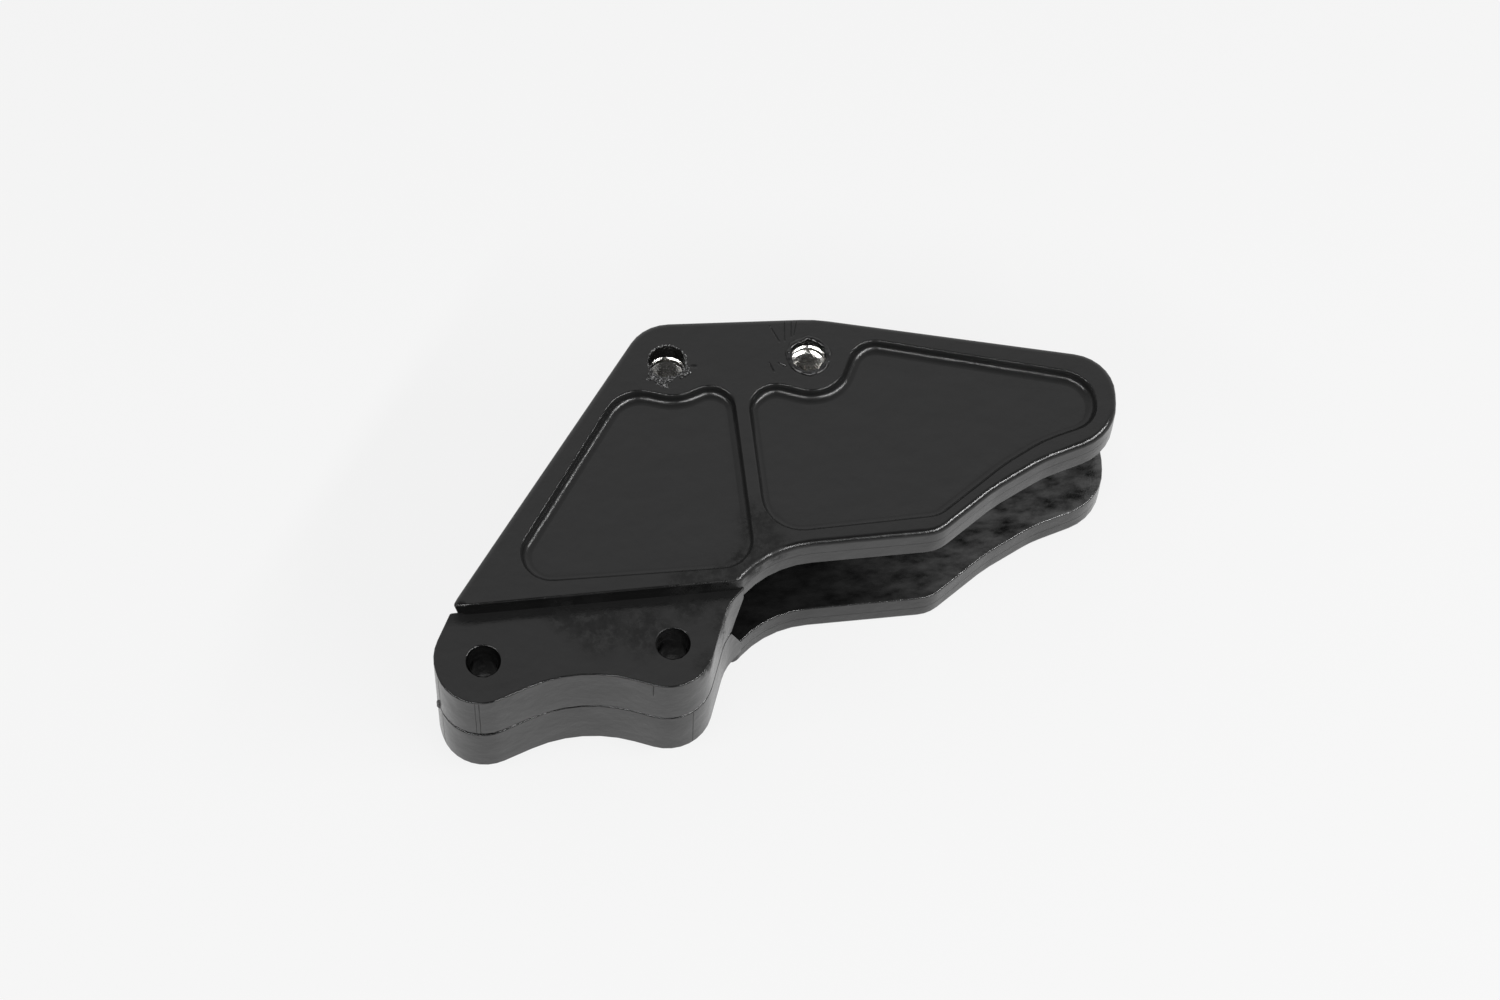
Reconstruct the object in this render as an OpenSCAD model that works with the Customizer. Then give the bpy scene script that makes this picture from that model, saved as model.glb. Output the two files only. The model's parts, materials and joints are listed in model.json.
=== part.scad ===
// Chain guide for a motorcycle swingarm: two moulded half shells that close
// round the lower chain run, with a pair of threaded inserts in one of them.
// Origin: axis of the first tab bolt hole, on the parting plane. +X runs to the
// second tab hole, +Z points out of the half that carries the inserts.

/* [Thicknesses] */
// Overall thickness of the two closed halves
guide_t = 38; // [34:0.5:44]
// Free height of the chain channel between the halves
chain_gap = 20.8; // [18:0.2:22]
// Thickness of the stepped tab, both halves together
tab_t = 29.4; // [26:0.2:31]

/* [Fixings] */
// Distance between the two tab bolt holes
tab_pitch = 39.6; // [36:0.2:43]
// Diameter of the tab bolt holes
tab_hole_d = 7; // [5.5:0.1:8.5]
// Distance from the first tab hole to the first insert, along the tab
insert_x = 45.4; // [42:0.2:48]
// Height of the first insert above the tab holes
insert_y = 65.9; // [62:0.2:70]
// Distance between the inserts along the tab direction
insert_pitch = 30.6; // [28:0.2:34]
// How much lower the second insert sits than the first
insert_drop = 1.6; // [0:0.1:3]
// Outer diameter of a threaded insert
insert_d = 11; // [10:0.1:12.5]
// Bore of the insert across its thread crests
thread_d = 6.8; // [6:0.1:7.4]
// Depth of the lead-in cone at the top of an insert's thread
lead_in = 0.6; // [0.3:0.1:1]
// Gap between the foot of the first insert and the parting plane
insert_foot = 0.5; // [0.2:0.1:3]
// Diameter of the opening in the outer face above an insert
mouth_d = 8.2; // [7.6:0.1:9]
// Depth of the first insert below the outer face
insert_sink_1 = 5; // [4:0.1:6]
// Depth of the second insert below the outer face
insert_sink_2 = 2.7; // [1.5:0.1:4]
// Bolt clearance hole through the half without inserts
bolt_hole_d = 8.6; // [8.2:0.1:9.4]

/* [Plan] */
// Reach of the tip from the first tab hole
tip_x = 142; // [136:0.5:150]
// Height of the straight lower edge above the tab holes
edge_y = 18.1; // [16:0.1:20]
// Height of the step between tab and plate above the tab holes
step_y = 11.1; // [10:0.1:12.5]
// Plastic round each upper fixing, measured from its axis
boss_r = 9.9; // [9:0.1:11.5]
// Thickness of the wall that closes the channel at the top
top_wall = 6; // [4:0.5:9]

/* [Recessed panels] */
// Width of the flat rim round the panels
rim_w = 3.8; // [3:0.1:5]
// Width of the flat of the rib between the panels
rib_w = 1.6; // [1.2:0.1:3]
// Depth of the panels below the outer face
panel_depth = 2.4; // [1.8:0.1:3]
// Radius of the convex edge round a panel
panel_edge_r = 0.8; // [0.4:0.1:1]
// Radius of the concave fillet at a panel's floor
panel_fillet_r = 1.5; // [0.8:0.1:1.6]

/* [Moulding] */
// Radius of the plate's outer edge
edge_r = 1.4; // [0.8:0.1:1.8]
// Lean of the panels' side walls, in degrees
panel_lean = 10; // [5:1:20]
// How far the channel's wall at the tab leans back from the parting plane to its floor
tab_wall_lean = 2.7; // [1:0.1:3.5]
// Chamfer at the outer mouth of each bolt hole
chamfer = 0.4; // [0.2:0.1:0.8]
// Clearance round an insert in its pocket
insert_fit = 0.03; // [0.01:0.01:0.05]

/* [Hidden] */
plastic = "#262626";
steel = "#a9a59b";
half_t = guide_t / 2;
ceiling = chain_gap / 2;
tab_half = tab_t / 2;
insert_1 = [insert_x, insert_y];
insert_2 = [insert_x + insert_pitch, insert_y - insert_drop];
tab_2 = [tab_pitch, 0];
insert_len = half_t - insert_sink_1 - insert_foot;
over = 1;
round_fn = 64;

// Top line of the plate, tangent to the plastic round both fixings
top_slope = -3.9;
top_1 = insert_1 + (boss_r + 0.2) * [-sin(top_slope), cos(top_slope)];
bend = insert_2 + [2.5, boss_r - 0.2];
tip_high = [tip_x, bend.y - 16.8];
top_left = top_1 - [4.8 * cos(top_slope), 4.8 * sin(top_slope)];

// Plan of the plate, as corners [x, y, radius] that run anticlockwise
plate = [
    [-5.0, step_y, 2.0],
    [tab_pitch + 15.5, step_y, 2.4],
    [tab_pitch + 22.8, edge_y, 22.0],
    [tip_x - 43.8, edge_y, 8.0],
    [tip_x - 30.2, edge_y + 9.5, 25.0],
    [tip_x - 18.8, edge_y + 15.3, 25.0],
    [tip_x - 2.2, edge_y + 20.3, 12.0],
    [tip_high.x, tip_high.y, 10.0],
    [bend.x, bend.y, 30.0],
    [top_left.x, top_left.y, boss_r],
    [insert_x - 35.2, insert_y - 32.4, 150.0],
];

// Plan of the tab: a lobe round each bolt hole and a hollow between them
tab = [
    [-10.9, 2.4, 10.5],
    [-7.4, -13.0, 9.5],
    [tab_pitch / 2 + 0.1, -3.1, 30.0],
    [tab_pitch + 4.4, -13.4, 9.7],
    [tab_pitch + 12.3, 7.6, 12.0],
    [tab_pitch + 16.5, step_y + 0.4, 0.4],
    [tab_pitch + 14.9, step_y + 1.7, 0.4],
    [-6.0, step_y + 0.8, 0.6],
];

// Plans of the two panels, tied to the rim, the rib and the bosses
rib_x = insert_x + insert_pitch / 2 - 0.4;
left_panel = [
    [3.1, step_y + rim_w, 7.2],
    [rib_x - rib_w / 2, step_y + rim_w - 1.2, 7.6],
    [rib_x - rib_w / 2, insert_1.y - 3.9, 6.0],
    [insert_1.x + 1.1, insert_1.y - 8.6, 8.3],
    [insert_1.x - 10.6, insert_1.y - 4.4, 8.6],
];
right_panel = [
    [rib_x + rib_w / 2, edge_y + rim_w - 0.9, 9.3],
    [tip_x - 43.0, edge_y + rim_w - 0.2, 6.8],
    [tip_x - 27.1, edge_y + rim_w + 10.9, 25.0],
    [tip_x - 18.2, edge_y + rim_w + 15.7, 27.0],
    [tip_x - 6.6, edge_y + rim_w + 18.9, 6.7],
    [tip_x - 2.8, tip_high.y - 4.2, 8.7],
    [insert_2.x + 10.9, insert_2.y + 4.2, 6.5],
    [insert_2.x + 3.9, insert_2.y - 10.3, 7.2],
    [rib_x + rib_w / 2, insert_2.y - 2.6, 6.6],
];

// The chain channel: its wall at the tab leans, its roof line clears the bosses
tab_wall_floor = step_y + 0.4;
tab_wall_parting = tab_wall_floor - tab_wall_lean;
past_left = -40;
past_right = tip_x + 20;
wall_drop = top_wall / cos(15);
channel_plan = [
    [past_left, tab_wall_floor, 1],
    [past_right, tab_wall_floor, 1],
    [past_right, tip_high.y - 5.2 - wall_drop, 1],
    [insert_2.x + boss_r + 6, bend.y - 3.5 - wall_drop, 6],
    [insert_2.x + boss_r + 1, insert_2.y - boss_r, 7],
    [insert_1.x - 2, insert_1.y - boss_r, 9],
    [past_left, insert_1.y - boss_r - 14, 1],
];

// One rounded corner as points: the inset shrinks convex arcs and grows hollow ones
arc_step = 12;
chord = 4;
function unit(v) = v / norm(v);
function corner_arc(before, at, after, r, inset) =
    let (to_before = unit(before - at),
         to_after = unit(after - at),
         half = acos(to_before * to_after) / 2,
         turn = sign(cross(at - before, after - at)),
         centre = at + unit(to_before + to_after) * r / sin(half),
         first = at + to_before * r / tan(half) - centre,
         start = atan2(first.y, first.x),
         sweep = turn * (180 - 2 * half),
         steps = ceil(max(abs(sweep) / arc_step, abs(sweep) * PI / 180 * r / chord)))
    [for (i = [0:steps])
        let (a = start + sweep * i / steps)
        centre + (r - turn * inset) * [cos(a), sin(a)]];
function xy(corner) = [corner.x, corner.y];
function outline(corners, inset = 0) =
    let (n = len(corners))
    [for (i = [0:n - 1])
        each corner_arc(xy(corners[(i + n - 1) % n]), xy(corners[i]), xy(corners[(i + 1) % n]),
                        corners[i][2], inset)];

// A solid between rings of one outline: levels are [height, inset], lowest first, and
// its two ends fan out from the middle, a place that sees the whole outline
module skin(corners, levels, middle) {
    rings = [for (level = levels) [for (p = outline(corners, level[1])) [p.x, p.y, level[0]]]];
    n = len(rings[0]);
    last = len(levels) - 1;
    foot = n * len(levels);
    points = concat([for (ring = rings) each ring],
        [[middle.x, middle.y, levels[0][0]], [middle.x, middle.y, levels[last][0]]]);
    sides = [for (k = [0:last - 1], i = [0:n - 1])
        let (a = k * n, b = a + n, j = (i + 1) % n)
        [a + i, b + i, b + j, a + j]];
    bottom = [for (i = [0:n - 1]) [foot, i, (i + 1) % n]];
    top = [for (i = [0:n - 1]) [foot + 1, last * n + (i + 1) % n, last * n + i]];
    polyhedron(points, concat(bottom, sides, top), convexity = 8);
}

// Section of a panel's side: rounded rim edge, leaning wall, floor fillet
steep = 90 - panel_lean;
rim_in = panel_edge_r * sin(steep);
rim_down = panel_edge_r * (1 - cos(steep));
fillet_down = panel_depth - panel_fillet_r * (1 - cos(steep));
panel_in = rim_in + (fillet_down - rim_down) * tan(panel_lean) + panel_fillet_r * sin(steep);
mouth_up = 0.1;
mouth_a = 20;
mouth_in = panel_edge_r * sin(mouth_a);
mouth_down = panel_edge_r * (1 - cos(mouth_a));
panel_levels = concat(
    [for (a = [0, 25, 52, steep])
        [half_t - panel_depth + panel_fillet_r * (1 - cos(a)), panel_in - panel_fillet_r * sin(a)]],
    [for (a = [steep, 50, mouth_a]) [half_t - panel_edge_r * (1 - cos(a)), panel_edge_r * sin(a)]],
    [[half_t + mouth_up, mouth_in - (mouth_up + mouth_down) / tan(35)]]);

// The plate with its outer edge rounded
edge_levels = [for (a = [0, 20, 45, 70, 90])
    [half_t - edge_r * (1 - sin(a)), edge_r * (1 - cos(a))]];
module rounded_plate() {
    linear_extrude(half_t - edge_r) polygon(outline(plate));
    skin(plate, edge_levels, [rib_x + 10, step_y + 32]);
}

// Everything between the plates that the chain needs free
module channel() {
    translate([0, 0, -over]) linear_extrude(ceiling + over) polygon(outline(channel_plan));
    slope = tab_wall_lean / ceiling;
    translate([past_left, 0, 0])
        rotate([90, 0, 90])
            linear_extrude(past_right - past_left)
                polygon([[tab_wall_parting - over * slope, -over], [tab_wall_floor, ceiling],
                         [tab_wall_floor + over, ceiling], [tab_wall_floor + over, -over]]);
}

// A through hole with a small chamfer at the outer face
module through_hole(d, face) {
    translate([0, 0, -over]) cylinder(h = face + 2 * over, d = d, $fn = round_fn);
    translate([0, 0, face - chamfer])
        cylinder(h = 2 * chamfer, d1 = d, d2 = d + 4 * chamfer, $fn = round_fn);
}

// Pocket that an insert fills, with its narrower mouth in the outer face
module insert_pocket(sink) {
    translate([0, 0, -over])
        cylinder(h = half_t - sink + over, d = insert_d + 2 * insert_fit, $fn = round_fn);
    cylinder(h = half_t + over, d = mouth_d, $fn = round_fn);
}

// One half shell: stepped plate and tab, hollowed for the chain and the panels
module half_shell() {
    difference() {
        union() {
            rounded_plate();
            linear_extrude(tab_half) polygon(outline(tab));
        }
        channel();
        skin(left_panel, panel_levels, [rib_x - 25, step_y + 19]);
        skin(right_panel, panel_levels, [rib_x + 30, edge_y + 22]);
        through_hole(tab_hole_d, tab_half);
        translate(tab_2) through_hole(tab_hole_d, tab_half);
    }
}

module upper_half() {
    color(plastic) difference() {
        half_shell();
        translate(insert_1) insert_pocket(insert_sink_1);
        translate(insert_2) insert_pocket(insert_sink_2);
    }
}

module lower_half() {
    color(plastic) mirror([0, 0, 1]) difference() {
        half_shell();
        translate(insert_1) through_hole(bolt_hole_d, half_t);
        translate(insert_2) through_hole(bolt_hole_d, half_t);
    }
}

// Threaded insert, pushed up against the shoulder under its mouth
module insert(place, sink) {
    color(steel) translate([place.x, place.y, half_t - sink - insert_len]) difference() {
        cylinder(h = insert_len, d = insert_d, $fn = round_fn);
        translate([0, 0, -over]) cylinder(h = insert_len + 2 * over, d = thread_d, $fn = round_fn);
        translate([0, 0, insert_len - lead_in])
            cylinder(h = 2 * lead_in, d1 = thread_d, d2 = thread_d + 4 * lead_in, $fn = round_fn);
    }
}

upper_half();
lower_half();
insert(insert_1, insert_sink_1);
insert(insert_2, insert_sink_2);
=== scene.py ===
import json
import math

import bmesh
import bpy
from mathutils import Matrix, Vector

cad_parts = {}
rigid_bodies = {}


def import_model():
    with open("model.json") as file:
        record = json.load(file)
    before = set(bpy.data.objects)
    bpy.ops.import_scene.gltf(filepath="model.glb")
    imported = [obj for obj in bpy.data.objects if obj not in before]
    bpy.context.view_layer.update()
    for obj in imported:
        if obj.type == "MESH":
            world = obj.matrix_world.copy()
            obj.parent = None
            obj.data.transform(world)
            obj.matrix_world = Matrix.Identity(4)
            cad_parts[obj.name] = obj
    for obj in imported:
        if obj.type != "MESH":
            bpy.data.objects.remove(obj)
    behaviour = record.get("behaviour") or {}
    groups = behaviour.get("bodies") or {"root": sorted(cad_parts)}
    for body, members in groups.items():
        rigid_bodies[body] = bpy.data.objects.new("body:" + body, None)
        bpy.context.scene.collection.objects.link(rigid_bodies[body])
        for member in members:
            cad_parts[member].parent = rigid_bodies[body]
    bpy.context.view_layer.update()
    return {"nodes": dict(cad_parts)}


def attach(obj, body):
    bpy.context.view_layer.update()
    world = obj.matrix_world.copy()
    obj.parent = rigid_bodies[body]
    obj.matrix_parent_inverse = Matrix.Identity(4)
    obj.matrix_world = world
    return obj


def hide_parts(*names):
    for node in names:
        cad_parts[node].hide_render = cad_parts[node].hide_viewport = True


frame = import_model()


# Studio: the guide lies on a plain pale sheet. A broad pale sky stands behind and above it,
# the side towards the camera is dim, and a soft lamp at each front corner draws the thin
# bright lines along the rounded edges.
MM = 0.001


def linear(hex_colour):
    def channel(text):
        c = int(text, 16) / 255
        return c / 12.92 if c <= 0.04045 else ((c + 0.055) / 1.055) ** 2.4
    return tuple(channel(hex_colour[i:i + 2]) for i in (1, 3, 5)) + (1.0,)


def new_material(name):
    material = bpy.data.materials.new(name)
    material.use_nodes = True
    material.node_tree.nodes.clear()
    return material


def add_node(tree, kind, settings=None, inputs=None):
    node = tree.nodes.new(kind)
    for key, value in (settings or {}).items():
        setattr(node, key, value)
    for key, value in (inputs or {}).items():
        if isinstance(value, bpy.types.NodeSocket):
            tree.links.new(value, node.inputs[key])
        else:
            node.inputs[key].default_value = value
    return node


camera_data = bpy.data.cameras.new("camera")
camera_data.sensor_width = 36.0
camera_data.lens = 91.2
camera_data.clip_start = 0.01
camera = bpy.data.objects.new("camera", camera_data)
camera.location = (-0.005237, -0.360795, 0.718989)
camera.rotation_euler = [math.radians(a) for a in (29.46634, -1.47676, -6.75120)]
bpy.context.scene.collection.objects.link(camera)
bpy.context.scene.camera = camera
bpy.context.scene.view_settings.view_transform = "Standard"

sky = bpy.data.worlds.new("pale_sky")
sky.use_nodes = True
sky.node_tree.nodes.clear()
towards = add_node(sky.node_tree, "ShaderNodeTexCoord").outputs["Generated"]
towards_back = add_node(sky.node_tree, "ShaderNodeSeparateXYZ", inputs={0: towards}).outputs["Y"]
pale_part = add_node(sky.node_tree, "ShaderNodeMapRange", {"interpolation_type": "SMOOTHSTEP"}, {
    "Value": towards_back, "From Min": -0.45, "From Max": 0.75}).outputs[0]
sky_colour = add_node(sky.node_tree, "ShaderNodeMix", {"data_type": "RGBA"}, {
    0: pale_part, 6: linear("#4a4a4a"), 7: linear("#f4f4f4")}).outputs[2]
sky_light = add_node(sky.node_tree, "ShaderNodeBackground", inputs={
    "Color": sky_colour, "Strength": 0.95})
add_node(sky.node_tree, "ShaderNodeOutputWorld", inputs={"Surface": sky_light.outputs[0]})
bpy.context.scene.world = sky

guide_middle = Vector((0.06, 0.03, 0.0))
for name, place, power in (
        ("strip_right", (0.60, -0.40, 0.55), 11.0),
        ("strip_left", (-0.45, -0.45, 0.60), 7.0)):
    lamp_data = bpy.data.lights.new(name, "AREA")
    lamp_data.shape = "RECTANGLE"
    lamp_data.size = 1.0
    lamp_data.size_y = 0.06
    lamp_data.energy = power
    lamp = bpy.data.objects.new(name, lamp_data)
    lamp.location = place
    aim = guide_middle - lamp.location
    lamp.rotation_euler = aim.to_track_quat("-Z", "Y").to_euler()
    bpy.context.scene.collection.objects.link(lamp)

SHEET_TOP = -19.02  # mm, a hair under the guide's lower face
bpy.ops.mesh.primitive_plane_add(size=6.0, location=(0, 0, SHEET_TOP * MM))
floor = bpy.context.object
floor.name = "floor"
bpy.ops.object.transform_apply(location=True, rotation=True, scale=True)

# The sheet takes the guide's shadow, and is as pale as the photograph's background where
# the camera or a glossy face sees it.
paper = new_material("pale_sheet")
sheet = paper.node_tree
seen = add_node(sheet, "ShaderNodeLightPath")
seen_share = add_node(sheet, "ShaderNodeMath", {"operation": "MULTIPLY"}, {
    0: seen.outputs["Is Camera Ray"], 1: 0.90})
mirrored_share = add_node(sheet, "ShaderNodeMath", {"operation": "MULTIPLY"}, {
    0: seen.outputs["Is Glossy Ray"], 1: 0.50})
seen_share = add_node(sheet, "ShaderNodeMath", {"operation": "MAXIMUM"}, {
    0: seen_share.outputs[0], 1: mirrored_share.outputs[0]})
paper_matt = add_node(sheet, "ShaderNodeBsdfPrincipled", inputs={
    "Base Color": linear("#bebebe"), "Roughness": 0.9, "Specular IOR Level": 0.0})
paper_pale = add_node(sheet, "ShaderNodeEmission", inputs={
    "Color": linear("#f7f7f7"), "Strength": 1.0})
paper_seen = add_node(sheet, "ShaderNodeMixShader", inputs={
    0: seen_share.outputs[0], 1: paper_matt.outputs[0], 2: paper_pale.outputs[0]})
add_node(sheet, "ShaderNodeOutputMaterial", inputs={"Surface": paper_seen.outputs[0]})
floor.data.materials.append(paper)


# The two half shells: injection-moulded black nylon, satin from a polished mould. Each is
# one moulding, and the pair closes round the chain. Handling has dulled the tab, and
# dragging has dented the edge over the second insert.
PLATE_TOP = 19.0  # heights over the parting plane in mm, the same on both halves
TAB_TOP = 14.7
CHANNEL_FLOOR = 10.4

# A groove: its two ends, its half width and the heights that it runs between, in mm
DENTS = (
    (68.5, 72.8, 70.3, 68.1, 0.30, 10, 20), (71.9, 73.6, 71.3, 68.2, 0.22, 10, 20),
    (73.4, 73.6, 72.8, 69.1, 0.20, 10, 20), (74.6, 73.4, 73.4, 69.4, 0.16, 10, 20),
    (67.3, 63.6, 68.3, 60.7, 0.25, 10, 20), (69.1, 63.2, 71.1, 61.9, 0.35, 10, 20),
    (50.2, 64.2, 51.9, 64.0, 0.55, 10, 20))
MOULD_LINES = (
    (-7.9, -2.5, -10.5, -3.1, 0.16, 0.5, 14.2), (-7.7, -3.2, -10.3, -3.8, 0.16, -19, -0.5),
    (-1.4, -7.6, -2.0, -11.0, 0.20, 0.5, 14.2), (-2.2, -7.6, -2.9, -11.0, 0.14, 0.5, 14.2),
    (34.5, -7.0, 34.5, -11.0, 0.20, 10.0, 14.3), (43.0, -8.5, 43.4, -12.5, 0.16, -19, -0.5))
# A rubbed place: its middle and its reach, in mm
DULL_PLACES = (
    (24.2, 5.0, 14.7, 9.0), (34.0, 3.0, 14.7, 8.5), (44.0, 9.5, 14.7, 7.0), (18.0, 8.8, 14.7, 6.0),
    (44.0, 12.6, 19.0, 6.0), (51.5, 12.6, 19.0, 7.0), (57.0, 16.0, 19.0, 7.0), (60.3, 25.0, 19.0, 7.0),
    (62.0, 18.5, 19.0, 6.0), (47.0, -6.0, 14.7, 5.0), (52.0, 4.0, 14.7, 6.0))

# Black nylon as moulded: a clear satin skin over a deep black body, with a very fine
# grain, dull rubbed places, a few dents and mould lines, and painted shade on the panel sides and at the
# foot of the step
nylon = new_material("black_moulded_nylon")
tree = nylon.node_tree
place = add_node(tree, "ShaderNodeTexCoord").outputs["Object"]
height_above = add_node(tree, "ShaderNodeSeparateXYZ", inputs={0: place}).outputs["Z"]
facing = add_node(tree, "ShaderNodeNewGeometry").outputs["Normal"]
facing_up = add_node(tree, "ShaderNodeSeparateXYZ", inputs={0: facing}).outputs["Z"]

# Mould grain, 0.4 mm, drawn a little coarser than real so that it shows
grain = add_node(tree, "ShaderNodeTexNoise", inputs={
    "Vector": place, "Scale": 2600.0, "Detail": 3.0, "Roughness": 0.6})
# Slow waves of the cooled skin, 8 mm long
waves = add_node(tree, "ShaderNodeTexNoise", inputs={
    "Vector": place, "Scale": 120.0, "Detail": 4.0, "Roughness": 0.55})
# The borders of rubbed places, torn at 2.4 mm
smears = add_node(tree, "ShaderNodeTexNoise", inputs={
    "Vector": place, "Scale": 420.0, "Detail": 6.0, "Roughness": 0.7})

# Rubbed places, each fading out from its middle
rubbed_and_painted_shade = 0.0
for x, y, z, reach in DULL_PLACES:
    away = add_node(tree, "ShaderNodeVectorMath", {"operation": "DISTANCE"}, {
        0: place, 1: (x * MM, y * MM, z * MM)}).outputs["Value"]
    near = add_node(tree, "ShaderNodeMapRange", {"interpolation_type": "SMOOTHSTEP"}, {
        "Value": away, "From Min": reach * MM, "From Max": 0.25 * reach * MM}).outputs[0]
    rubbed_and_painted_shade = add_node(tree, "ShaderNodeMath", {"operation": "MAXIMUM"}, {0: near, 1: rubbed_and_painted_shade}).outputs[0]
smear_part = add_node(tree, "ShaderNodeMapRange", inputs={
    "Value": smears.outputs["Fac"], "From Min": 0.38, "From Max": 0.58}).outputs[0]
rubbed_and_painted_shade = add_node(tree, "ShaderNodeMath", {"operation": "MULTIPLY"}, {0: rubbed_and_painted_shade, 1: smear_part}).outputs[0]

# Painted shade down the sides of the recessed panels, which lie between two heights on each half: a share
# of the dead black mix darkens them
PANEL_SIDE_SHADE_SHARE = 0.32
for low_z, high_z in ((16.61, 18.75), (-18.75, -16.61)):
    above = add_node(tree, "ShaderNodeMath", {"operation": "GREATER_THAN"}, {
        0: height_above, 1: low_z * MM}).outputs[0]
    below = add_node(tree, "ShaderNodeMath", {"operation": "LESS_THAN"}, {
        0: height_above, 1: high_z * MM}).outputs[0]
    upward = add_node(tree, "ShaderNodeMath", {"operation": "ABSOLUTE"}, {0: facing_up}).outputs[0]
    sloping = add_node(tree, "ShaderNodeMath", {"operation": "GREATER_THAN"}, {
        0: upward, 1: 0.30}).outputs[0]
    panel_side_shade = add_node(tree, "ShaderNodeMath", {"operation": "MULTIPLY"}, {0: above, 1: below}).outputs[0]
    panel_side_shade = add_node(tree, "ShaderNodeMath", {"operation": "MULTIPLY"}, {
        0: panel_side_shade, 1: sloping}).outputs[0]
    panel_side_shade = add_node(tree, "ShaderNodeMath", {"operation": "MULTIPLY"}, {
        0: panel_side_shade, 1: PANEL_SIDE_SHADE_SHARE}).outputs[0]
    rubbed_and_painted_shade = add_node(tree, "ShaderNodeMath", {"operation": "MAXIMUM"}, {0: panel_side_shade, 1: rubbed_and_painted_shade}).outputs[0]

# Painted shade on the tab: a dark matt strip along the foot of the step up to the plate
across_guide = add_node(tree, "ShaderNodeSeparateXYZ", inputs={0: place}).outputs["Y"]
step_foot_shade = add_node(tree, "ShaderNodeMapRange", {"interpolation_type": "SMOOTHSTEP"}, {
    "Value": across_guide, "From Min": 8.2 * MM, "From Max": 10.4 * MM,
    "To Min": 0.0, "To Max": 0.60}).outputs[0]
on_tab = add_node(tree, "ShaderNodeMath", {"operation": "ABSOLUTE"}, {0: height_above}).outputs[0]
on_tab = add_node(tree, "ShaderNodeMath", {"operation": "COMPARE"}, {
    0: on_tab, 1: TAB_TOP * MM, 2: 0.1 * MM}).outputs[0]
step_foot_shade = add_node(tree, "ShaderNodeMath", {"operation": "MULTIPLY"}, {0: step_foot_shade, 1: on_tab}).outputs[0]
rubbed_and_painted_shade = add_node(tree, "ShaderNodeMath", {"operation": "MAXIMUM"}, {0: step_foot_shade, 1: rubbed_and_painted_shade}).outputs[0]

# Dents and mould lines, each a narrow groove between its two ends
groove = 0.0
for x1, y1, x2, y2, width, low, high in DENTS + MOULD_LINES:
    start = Vector((x1, y1, 0.0)) * MM
    along = Vector((x2 - x1, y2 - y1, 0.0)) * MM
    way = along.normalized()
    across = Vector((-way.y, way.x, 0.0))
    side = add_node(tree, "ShaderNodeVectorMath", {"operation": "DOT_PRODUCT"}, {
        0: place, 1: across}).outputs["Value"]
    off = add_node(tree, "ShaderNodeMath", {"operation": "SUBTRACT"}, {
        0: side, 1: start.dot(across)}).outputs[0]
    off = add_node(tree, "ShaderNodeMath", {"operation": "ABSOLUTE"}, {0: off}).outputs[0]
    in_width = add_node(tree, "ShaderNodeMapRange", {"interpolation_type": "SMOOTHSTEP"}, {
        "Value": off, "From Min": width * MM, "From Max": 0.0}).outputs[0]
    gone = add_node(tree, "ShaderNodeVectorMath", {"operation": "DOT_PRODUCT"}, {
        0: place, 1: way}).outputs["Value"]
    middle = start.dot(way) + along.length / 2
    gone = add_node(tree, "ShaderNodeMath", {"operation": "SUBTRACT"}, {0: gone, 1: middle}).outputs[0]
    gone = add_node(tree, "ShaderNodeMath", {"operation": "ABSOLUTE"}, {0: gone}).outputs[0]
    in_length = add_node(tree, "ShaderNodeMapRange", inputs={
        "Value": gone, "From Min": along.length / 2,
        "From Max": along.length / 2 - 0.6 * MM}).outputs[0]
    rise = add_node(tree, "ShaderNodeMath", {"operation": "SUBTRACT"}, {
        0: height_above, 1: (low + high) / 2 * MM}).outputs[0]
    rise = add_node(tree, "ShaderNodeMath", {"operation": "ABSOLUTE"}, {0: rise}).outputs[0]
    in_height = add_node(tree, "ShaderNodeMath", {"operation": "LESS_THAN"}, {
        0: rise, 1: (high - low) / 2 * MM}).outputs[0]
    cut = add_node(tree, "ShaderNodeMath", {"operation": "MULTIPLY"}, {
        0: in_width, 1: in_length}).outputs[0]
    cut = add_node(tree, "ShaderNodeMath", {"operation": "MULTIPLY"}, {0: cut, 1: in_height}).outputs[0]
    groove = add_node(tree, "ShaderNodeMath", {"operation": "MAXIMUM"}, {0: cut, 1: groove}).outputs[0]

satin = add_node(tree, "ShaderNodeMapRange", inputs={
    "Value": waves.outputs["Fac"], "From Min": 0.3, "From Max": 0.7,
    "To Min": 0.14, "To Max": 0.21}).outputs[0]
rough = add_node(tree, "ShaderNodeMath", {"operation": "MULTIPLY_ADD"}, {
    0: rubbed_and_painted_shade, 1: 0.20, 2: satin}).outputs[0]
fine = add_node(tree, "ShaderNodeBump", inputs={
    "Strength": 0.45, "Distance": 0.06 * MM, "Height": grain.outputs["Fac"]})
wavy = add_node(tree, "ShaderNodeBump", inputs={
    "Strength": 0.40, "Distance": 0.6 * MM, "Height": waves.outputs["Fac"],
    "Normal": fine.outputs[0]})
dented = add_node(tree, "ShaderNodeBump", {"invert": True}, {
    "Strength": 0.9, "Distance": 0.25 * MM, "Height": groove, "Normal": wavy.outputs[0]})
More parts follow.
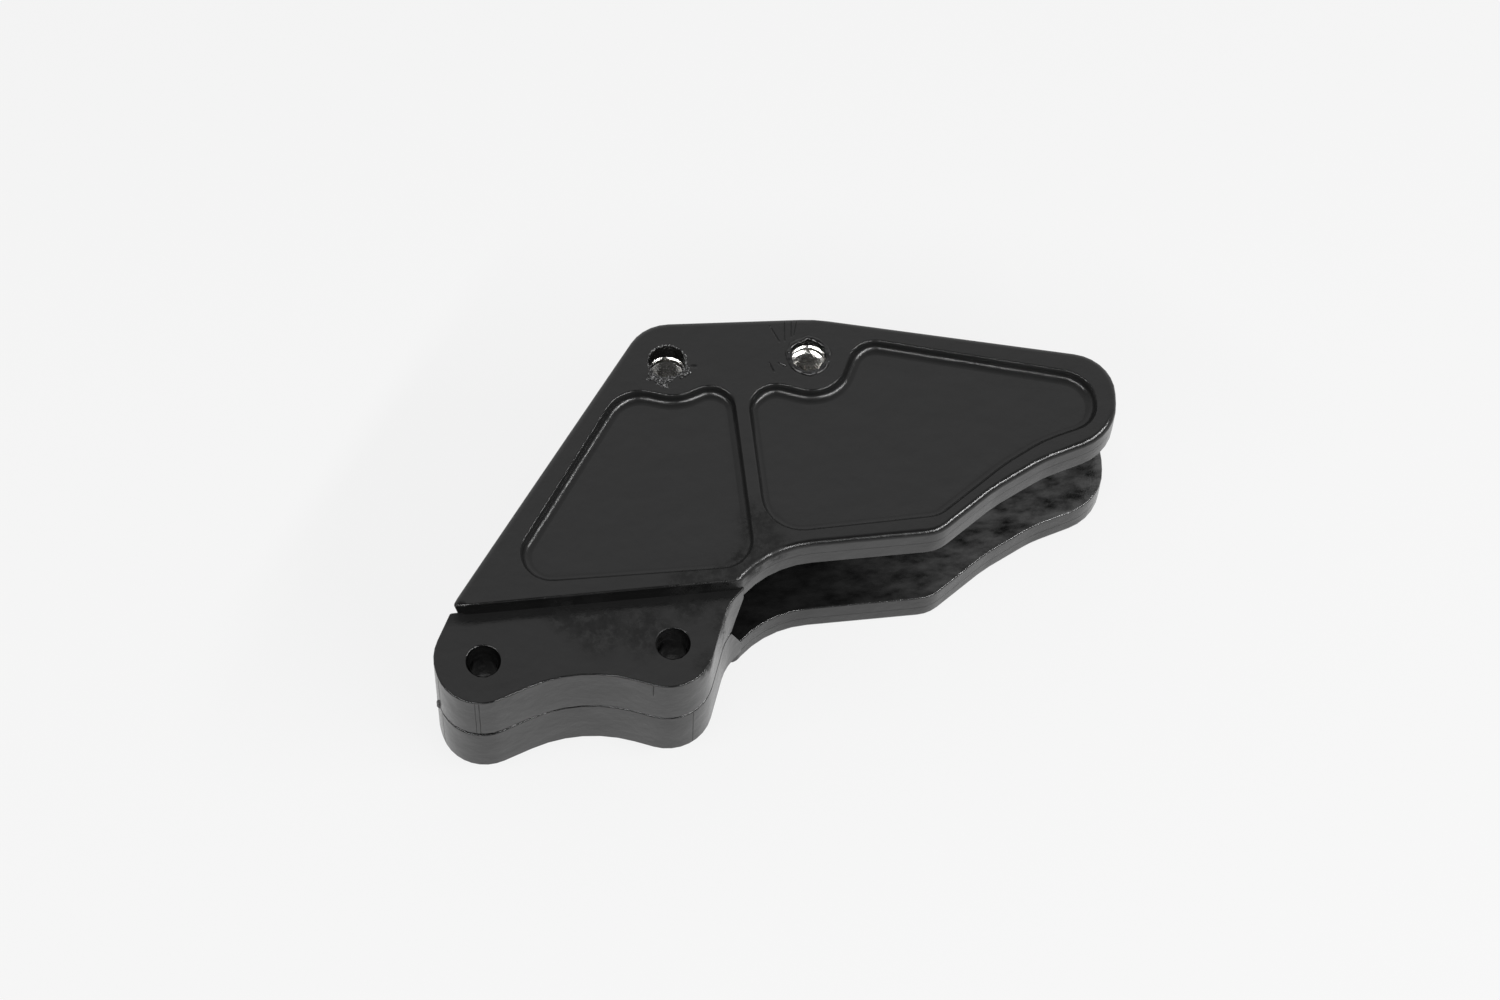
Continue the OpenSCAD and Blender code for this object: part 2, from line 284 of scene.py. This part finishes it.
# The chain has scuffed the floor of its channel in slanting pale smudges of about 8 by 4 mm,
# and the floor is paler towards the tip
scuff_place = add_node(tree, "ShaderNodeMapping", inputs={
    "Vector": place, "Rotation": (0, 0, math.radians(-35)), "Scale": (120.0, 260.0, 90.0)})
scuffs = add_node(tree, "ShaderNodeTexNoise", inputs={
    "Vector": scuff_place.outputs[0], "Scale": 1.0, "Detail": 6.0,
    "Roughness": 0.65}).outputs["Fac"]
scuffs = add_node(tree, "ShaderNodeMapRange", inputs={
    "Value": scuffs, "From Min": 0.34, "From Max": 0.74}).outputs[0]
along_guide = add_node(tree, "ShaderNodeSeparateXYZ", inputs={0: place}).outputs["X"]
to_tip = add_node(tree, "ShaderNodeMapRange", {"interpolation_type": "SMOOTHSTEP"}, {
    "Value": along_guide, "From Min": 70 * MM, "From Max": 125 * MM,
    "To Min": 0.12, "To Max": 1.0}).outputs[0]
in_channel = add_node(tree, "ShaderNodeMath", {"operation": "ABSOLUTE"}, {0: height_above}).outputs[0]
in_channel = add_node(tree, "ShaderNodeMath", {"operation": "COMPARE"}, {
    0: in_channel, 1: CHANNEL_FLOOR * MM, 2: 0.2 * MM}).outputs[0]
scuffed = add_node(tree, "ShaderNodeMath", {"operation": "MULTIPLY"}, {0: scuffs, 1: to_tip}).outputs[0]
scuffed = add_node(tree, "ShaderNodeMath", {"operation": "MULTIPLY"}, {
    0: scuffed, 1: in_channel}).outputs[0]
body = add_node(tree, "ShaderNodeMix", {"data_type": "RGBA"}, {
    0: scuffed, 6: linear("#0a0a0a"), 7: linear("#505050")}).outputs[2]
glossy = add_node(tree, "ShaderNodeBsdfPrincipled", inputs={
    "Base Color": body, "Roughness": rough, "IOR": 1.5, "Normal": dented.outputs[0]})
# Rubbed and torn nylon scatters its light and looks a dead black. The same dead black is laid in the
# grooves, and as painted shade down the panel sides and along the foot of the step
dead_black_rubbed_and_shade = add_node(tree, "ShaderNodeBsdfPrincipled", inputs={
    "Base Color": linear("#0c0c0c"), "Roughness": 0.70, "IOR": 1.3, "Normal": dented.outputs[0]})
rubbed_and_shade_part = add_node(tree, "ShaderNodeMath", {"operation": "MULTIPLY_ADD"}, {
    0: groove, 1: 0.7, 2: rubbed_and_painted_shade}).outputs[0]
rubbed_and_shade_part = add_node(tree, "ShaderNodeMath", {"operation": "MINIMUM"}, {
    0: rubbed_and_shade_part, 1: 0.85}).outputs[0]
surface = add_node(tree, "ShaderNodeMixShader", inputs={
    0: rubbed_and_shade_part, 1: glossy.outputs[0], 2: dead_black_rubbed_and_shade.outputs[0]})
add_node(tree, "ShaderNodeOutputMaterial", inputs={"Surface": surface.outputs[0]})

# The plate's two corners over the tab, as the middles of their arcs in the solids
LEFT_CORNER = (-1.225, 13.1)
RIGHT_CORNER = (54.13, 13.5)
LEFT_WAY = Vector((-0.8836, -0.4682))  # from the left arc's middle to its corner
LEFT_HALF_ANGLE = 62.1  # half of what the left arc turns through, in degrees
PLATE_EDGE_R = 1.4
EDGE_START = 17.55  # just under the foot of the plate's rounded edge
UNDER_TAB_TOP = TAB_TOP - 0.05
OVER_TAB_TOP = TAB_TOP + 0.05
CRISPNESS = 0.72  # share of the rounding that is taken out
TOWARDS_TAB = Vector((0.0, -1.0))

# The sides of the recessed panels: the height of each ring of the mesh, and how far it
# moves in over the panel, in mm
RIM_RING = 18.952
RIM_SPREAD = 0.55
SPREAD = ((RIM_RING, -0.42), (18.714, -0.22), (17.176, 0.10), (16.741, 0.30), (16.60, 0.50))

for node_name, piece_name in (
        ("upper_half", "upper_moulding"),
        ("lower_half", "lower_moulding")):
    bpy.ops.object.select_all(action="DESELECT")
    solid = frame["nodes"][node_name]
    solid.select_set(True)
    bpy.context.view_layer.objects.active = solid
    bpy.ops.object.duplicate()
    moulding = bpy.context.object
    moulding.name = piece_name
    moulding.parent = None
    bpy.ops.object.mode_set(mode="EDIT")
    bpy.ops.mesh.select_all(action="SELECT")
    bpy.ops.mesh.remove_doubles(threshold=0.002 * MM)
    bpy.ops.mesh.dissolve_limited(angle_limit=math.radians(0.6))
    bpy.ops.object.mode_set(mode="OBJECT")
    for vertex in moulding.data.vertices:
        x, y, z = (c / MM for c in vertex.co)
        # The halves close on high spots, so a hairline shows between them
        if abs(z) < 0.01:
            hairline = 0.09 + 0.04 * math.sin(0.9 * x + 1.3) + (0.22 if x > 47 else 0.0)
            hairline += 0.26 * math.exp(-((x + 2.0) / 6.5) ** 2) * (1 if y < 0 else 0)
            vertex.co.z = (hairline if node_name == "upper_half" else -hairline) * MM
            continue
        if y > 30 or x > 57:
            continue
        # Over the tab the plate's edge is crisp, and rounds off again beyond each corner
        left = Vector((x - LEFT_CORNER[0], y - LEFT_CORNER[1]))
        right = Vector((x - RIGHT_CORNER[0], y - RIGHT_CORNER[1]))
        crisp = 0.0
        outward = TOWARDS_TAB
        if abs(z) > UNDER_TAB_TOP and 0.3 < left.length < 2.1 and x < -1.1:
            outward = left.normalized()
            crisp = 1 - min(1, math.degrees(outward.angle(TOWARDS_TAB)) / 110)
        if abs(z) > EDGE_START and 0.3 < right.length < 2.5 and x > 54:
            outward = right.normalized()
            crisp = 1 - min(1, math.degrees(outward.angle(TOWARDS_TAB)) / 44)
        if abs(z) > EDGE_START and crisp > 0:
            risen = min(1, 1 - (PLATE_TOP - abs(z)) / PLATE_EDGE_R)
            cut_back = PLATE_EDGE_R * (1 - math.sqrt(1 - risen ** 2))
            x += CRISPNESS * crisp * cut_back * outward.x
            y += CRISPNESS * crisp * cut_back * outward.y
            z = math.copysign(PLATE_TOP - (1 - CRISPNESS * crisp) * (PLATE_TOP - abs(z)), z)
        # The plate's left corner is sharp
        left = Vector((x - LEFT_CORNER[0], y - LEFT_CORNER[1]))
        turned = math.degrees(left.angle(LEFT_WAY, 0.0)) if left.length > 0.3 else 180
        if abs(z) > OVER_TAB_TOP and turned < 63 and left.length < 2.6:
            reach = 0.25 + 0.75 / math.cos(math.radians(LEFT_HALF_ANGLE - turned))
            x, y = LEFT_CORNER[0] + left.x * reach, LEFT_CORNER[1] + left.y * reach
        # The plate's left edge runs out a little further towards that corner
        beside_edge = (x + 5.0) * 0.8275 - (y - 11.1) * 0.5615
        on_plate = y > 12.2 or (abs(z) > UNDER_TAB_TOP and x > -5.5)
        if -0.3 < beside_edge < 3.0 and on_plate and x < 8:
            x -= 0.9 * min(1, (30 - y) / 17)
        vertex.co = (x * MM, y * MM, z * MM)
    # The panels' sides spread wider than a plain wall: the rim rolls over further out and
    # the fillet runs further in, but little beside the rib between the panels
    edges = bmesh.new()
    edges.from_mesh(moulding.data)
    moves = {}
    for corner in edges.verts:
        depth = abs(corner.co.z) / MM
        beyond = [e.other_vert(corner) for e in corner.link_edges]
        if depth > 18.99:
            inner = [v for v in beyond if abs(abs(v.co.z) / MM - RIM_RING) < 0.012]
            if inner:
                nearest = min((v.co.xy - corner.co.xy for v in inner), key=lambda d: d.length)
                moves[corner] = nearest.normalized() * -RIM_SPREAD
            continue
        for level, amount in SPREAD:
            if abs(depth - level) < 0.012 and (level > 16.7 or len(corner.link_edges) > 2):
                corner.normal_update()
                way = corner.normal.xy
                if way.length > 0.01:
                    moves[corner] = way.normalized() * amount
    for corner, move in moves.items():
        if abs(corner.co.x / MM - 60.3) < 4:
            move = move * 0.35
        corner.co.xy += move * MM
    # Every outward edge is rounded a little, as a mould leaves it
    weight = edges.edges.layers.float.new("bevel_weight_edge")
    for edge in edges.edges:
        if edge.is_manifold and edge.is_convex and edge.calc_face_angle() > math.radians(50):
            edge[weight] = 1.0
    edges.to_mesh(moulding.data)
    edges.free()
    rounding = moulding.modifiers.new("edge_rounding", "BEVEL")
    rounding.width = 0.35 * MM
    rounding.segments = 3
    rounding.limit_method = "WEIGHT"
    rounding.use_clamp_overlap = False
    bpy.ops.object.modifier_apply(modifier=rounding.name)
    bpy.ops.object.shade_smooth_by_angle(angle=math.radians(46))
    flats = moulding.modifiers.new("flat_faces_stay_flat", "WEIGHTED_NORMAL")
    flats.keep_sharp = True
    bpy.ops.object.modifier_apply(modifier=flats.name)
    moulding.data.materials.clear()
    moulding.data.materials.append(nylon)
    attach(moulding, "root")
    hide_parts(node_name)


# The swollen lip round the second mouth and the torn lip round the first: nylon that
# softened and tore as the inserts were pressed in, one skin with the upper moulding.
def ragged(piece, size, depth, seed):
    cells = bpy.data.textures.new(piece.name + "_cells", "CLOUDS")
    cells.noise_scale = size * MM
    cells.noise_depth = 2
    pushed = piece.modifiers.new("ragged", "DISPLACE")
    pushed.texture = cells
    pushed.texture_coords = "OBJECT"
    pushed.texture_coords_object = seed
    pushed.strength = depth * MM
    pushed.mid_level = 0.5
    bpy.ops.object.modifier_apply(modifier=pushed.name)


def joined(prefix, name):
    bpy.ops.object.select_all(action="DESELECT")
    for bit in [o for o in bpy.context.scene.objects if o.name.startswith(prefix)]:
        bit.select_set(True)
        bpy.context.view_layer.objects.active = bit
    bpy.ops.object.join()
    piece = bpy.context.object
    piece.name = name
    bpy.ops.object.transform_apply(location=True, rotation=True, scale=True)
    return piece


# Torn nylon: black, whitened in 0.4 mm specks where it stretched; the pale specks also serve as painted
# glints, so that it glitters
torn = new_material("torn_nylon")
tree = torn.node_tree
place = add_node(tree, "ShaderNodeTexCoord").outputs["Object"]
specks = add_node(tree, "ShaderNodeTexNoise", inputs={
    "Vector": place, "Scale": 2400.0, "Detail": 4.0, "Roughness": 0.7})
whitened_and_glint_part = add_node(tree, "ShaderNodeMapRange", inputs={
    "Value": specks.outputs["Fac"], "From Min": 0.52, "From Max": 0.66})
torn_colour = add_node(tree, "ShaderNodeMix", {"data_type": "RGBA"}, {
    0: whitened_and_glint_part.outputs[0], 6: linear("#0c0c0c"), 7: linear("#8c8c8c")})
torn_bump = add_node(tree, "ShaderNodeBump", inputs={
    "Strength": 0.9, "Distance": 0.2 * MM, "Height": specks.outputs["Fac"]})
torn_surface = add_node(tree, "ShaderNodeBsdfPrincipled", inputs={
    "Base Color": torn_colour.outputs[2], "Roughness": 0.22, "IOR": 1.5, "Normal": torn_bump.outputs[0]})
add_node(tree, "ShaderNodeOutputMaterial", inputs={"Surface": torn_surface.outputs[0]})

seed = bpy.data.objects.new("ragged_seed", None)
bpy.context.scene.collection.objects.link(seed)
seed.location = (3 * MM, 1 * MM, 2 * MM)
for name, x, y, ring_r, thick, size, depth in (
        ("swollen_lip", 76.0, 64.3, 4.32, 0.68, 1.6, 0.95),
        ("torn_lip", 45.4, 65.9, 4.20, 0.22, 1.0, 0.60)):
    bpy.ops.mesh.primitive_torus_add(
        location=(x * MM, y * MM, (PLATE_TOP - 0.45 * thick) * MM), major_radius=ring_r * MM,
        minor_radius=thick * MM, major_segments=160, minor_segments=16)
    lip = bpy.context.object
    lip.name = name
    bpy.ops.object.transform_apply(location=True, rotation=True, scale=True)
    ragged(lip, size, depth, seed)
    bpy.ops.object.shade_smooth()
    lip.data.materials.append(torn if name == "torn_lip" else nylon)
    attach(lip, "root")


# The ragged burr below the first mouth: crumbs of torn nylon, pushed up and left standing.
# Each lump is given by its place and its size.
lumps = (
    (41.6, 63.0, 0.55), (41.9, 62.1, 0.65), (42.7, 61.5, 0.60), (43.4, 61.0, 0.75), (44.2, 61.3, 0.55),
    (45.3, 61.5, 0.75), (45.9, 61.4, 0.55), (43.9, 60.2, 0.60), (44.6, 59.9, 0.50), (40.9, 62.0, 0.35),
    (49.5, 63.9, 0.55), (49.6, 62.9, 0.60), (48.9, 62.2, 0.45), (48.2, 61.8, 0.35))
for x, y, size in lumps:
    bpy.ops.mesh.primitive_ico_sphere_add(
        subdivisions=4, radius=1.3 * size * MM,
        location=(x * MM, y * MM, (PLATE_TOP - 0.1 * size) * MM),
        scale=(1.0, 0.75, 0.6), rotation=(0, 0, x * 2.7))
    bpy.context.object.name = "burr_lump"
burr = joined("burr_lump", "ragged_burr")
ragged(burr, 0.6, 0.9, seed)
bpy.ops.object.shade_smooth()
burr.data.materials.append(torn)
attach(burr, "root")


# The flash: thin skins of nylon that squeezed out along the parting line of the tab. Most
# are crumbs, and one tall scrap stands out at the tab's left end.
for x, y, wide, tall in (
        (-9.8, -1.7, 0.60, 1.9), (-7.3, -6.2, 0.40, 0.35), (-5.6, -7.6, 0.35, 0.30),
        (1.0, -9.4, 0.35, 0.30), (5.5, -8.1, 0.45, 0.40), (9.0, -6.7, 0.35, 0.30),
        (12.0, -5.7, 0.45, 0.35), (30.0, -6.4, 0.35, 0.30)):
    bpy.ops.mesh.primitive_ico_sphere_add(
        subdivisions=4, radius=wide * MM, location=(x * MM, y * MM, 0), scale=(1.0, 0.8, tall / wide))
    bpy.context.object.name = "flash_bit"
flash = joined("flash_bit", "parting_flash")
ragged(flash, 0.7, 0.6, seed)
bpy.ops.object.shade_smooth()
flash.data.materials.append(torn)
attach(flash, "root")
bpy.data.objects.remove(seed)


# The threaded inserts: turned steel sleeves with an M8 thread, pressed into the upper half
# from the parting side. Each is a sleeve with a lead-in, and the thread's one long ridge.
THREAD_PITCH = 1.25
SLEEVE_OUTER_R = 5.5
SLEEVE_BORE_R = 4.0
LEAD_IN = 0.5

# Turned steel: bright and mirror-like, broken up by the tool's feed marks
steel = new_material("turned_steel")
tree = steel.node_tree
place = add_node(tree, "ShaderNodeTexCoord").outputs["Object"]
# Feed marks of the turning tool run round the bore, 0.16 mm apart
marks = add_node(tree, "ShaderNodeTexWave", {"bands_direction": "Z"}, {
    "Vector": place, "Scale": 2000.0, "Distortion": 3.0, "Detail": 2.0, "Detail Scale": 1.5})
spots = add_node(tree, "ShaderNodeTexNoise", inputs={"Vector": place, "Scale": 700.0, "Detail": 4.0})
marks_bump = add_node(tree, "ShaderNodeBump", inputs={
    "Strength": 0.25, "Distance": 0.03 * MM, "Height": marks.outputs["Fac"]})
spots_bump = add_node(tree, "ShaderNodeBump", inputs={
    "Strength": 0.35, "Distance": 0.12 * MM, "Height": spots.outputs["Fac"],
    "Normal": marks_bump.outputs[0]})
steel_rough = add_node(tree, "ShaderNodeMapRange", inputs={
    "Value": spots.outputs["Fac"], "From Min": 0.3, "From Max": 0.7,
    "To Min": 0.14, "To Max": 0.30})
steel_colour = add_node(tree, "ShaderNodeMix", {"data_type": "RGBA"}, {
    0: spots.outputs["Fac"], 6: linear("#cfcdc8"), 7: linear("#e6e5e2")})
steel_surface = add_node(tree, "ShaderNodeBsdfPrincipled", inputs={
    "Base Color": steel_colour.outputs[2], "Metallic": 1.0, "Roughness": steel_rough.outputs[0],
    "Normal": spots_bump.outputs[0]})
add_node(tree, "ShaderNodeOutputMaterial", inputs={"Surface": steel_surface.outputs[0]})

for node_name, piece_name, x, y, top, foot in (
        ("insert_1", "threaded_sleeve_1", 45.4, 65.9, 14.0, 0.5),
        ("insert_2", "threaded_sleeve_2", 76.0, 64.3, 16.3, 2.8)):
    # The sleeve: its section, with the lead-in cut off its top corner, is spun round
    bpy.ops.mesh.primitive_plane_add(size=1.0, rotation=(math.pi / 2, 0, 0))
    sleeve = bpy.context.object
    sleeve.name = piece_name
    sleeve.scale = ((SLEEVE_OUTER_R - SLEEVE_BORE_R) * MM, (top - foot) * MM, 1.0)
    sleeve.location = ((SLEEVE_OUTER_R + SLEEVE_BORE_R) / 2 * MM, 0, (top + foot) / 2 * MM)
    bpy.ops.object.transform_apply(location=True, rotation=True, scale=True)
    bpy.ops.object.mode_set(mode="EDIT")
    bpy.ops.mesh.select_all(action="DESELECT")
    bpy.ops.object.mode_set(mode="OBJECT")
    for vertex in sleeve.data.vertices:
        at_bore = vertex.co.x < (SLEEVE_BORE_R + LEAD_IN) * MM
        vertex.select = at_bore and vertex.co.z > (top - LEAD_IN) * MM
    bpy.ops.object.mode_set(mode="EDIT")
    bpy.ops.mesh.select_mode(type="VERT")
    bpy.ops.mesh.bevel(offset=LEAD_IN * MM, affect="VERTICES")
    bpy.ops.mesh.select_all(action="SELECT")
    bpy.ops.mesh.delete(type="ONLY_FACE")
    bpy.ops.mesh.select_all(action="SELECT")
    bpy.ops.mesh.spin(steps=96, angle=2 * math.pi, center=(0, 0, 0), axis=(0, 0, 1))
    bpy.ops.mesh.select_all(action="SELECT")
    bpy.ops.mesh.remove_doubles(threshold=0.002 * MM)
    bpy.ops.mesh.normals_make_consistent(inside=False)
    bpy.ops.object.mode_set(mode="OBJECT")

    # The thread: a ridge with a narrow flat crest climbs the bore, its foot sunk in the wall
    bpy.ops.mesh.primitive_plane_add(size=1.0)
    ridge = bpy.context.object
    ridge.name = "thread_ridge"
    turns = int((top - foot - 1.2) / THREAD_PITCH)
    low = foot + 0.6
    section = ((4.06, low), (3.40, low + 0.50), (4.06, low + 1.12), (3.40, low + 0.62))
    for vertex, (radius, height) in zip(ridge.data.vertices, section):
        vertex.co = (radius * MM, 0, height * MM)
    bpy.ops.object.mode_set(mode="EDIT")
    bpy.ops.mesh.select_all(action="SELECT")
    bpy.ops.mesh.delete(type="ONLY_FACE")
    bpy.ops.object.mode_set(mode="OBJECT")
    climb = ridge.modifiers.new("climb", "SCREW")
    climb.axis = "Z"
    climb.screw_offset = THREAD_PITCH * MM
    climb.iterations = turns
    climb.steps = 72
    climb.render_steps = 72
    bpy.ops.object.modifier_apply(modifier=climb.name)
    bpy.ops.object.mode_set(mode="EDIT")
    bpy.ops.mesh.select_all(action="SELECT")
    bpy.ops.mesh.fill_holes(sides=4)
    bpy.ops.mesh.select_all(action="SELECT")
    bpy.ops.mesh.normals_make_consistent(inside=False)
    bpy.ops.object.mode_set(mode="OBJECT")

    bpy.ops.object.select_all(action="DESELECT")
    ridge.select_set(True)
    sleeve.select_set(True)
    bpy.context.view_layer.objects.active = sleeve
    bpy.ops.object.join()
    sleeve.location = (x * MM, y * MM, 0)
    bpy.ops.object.transform_apply(location=True, rotation=True, scale=True)
    bpy.ops.object.shade_smooth_by_angle(angle=math.radians(35))
    sleeve.data.materials.clear()
    sleeve.data.materials.append(steel)
    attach(sleeve, "root")
    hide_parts(node_name)
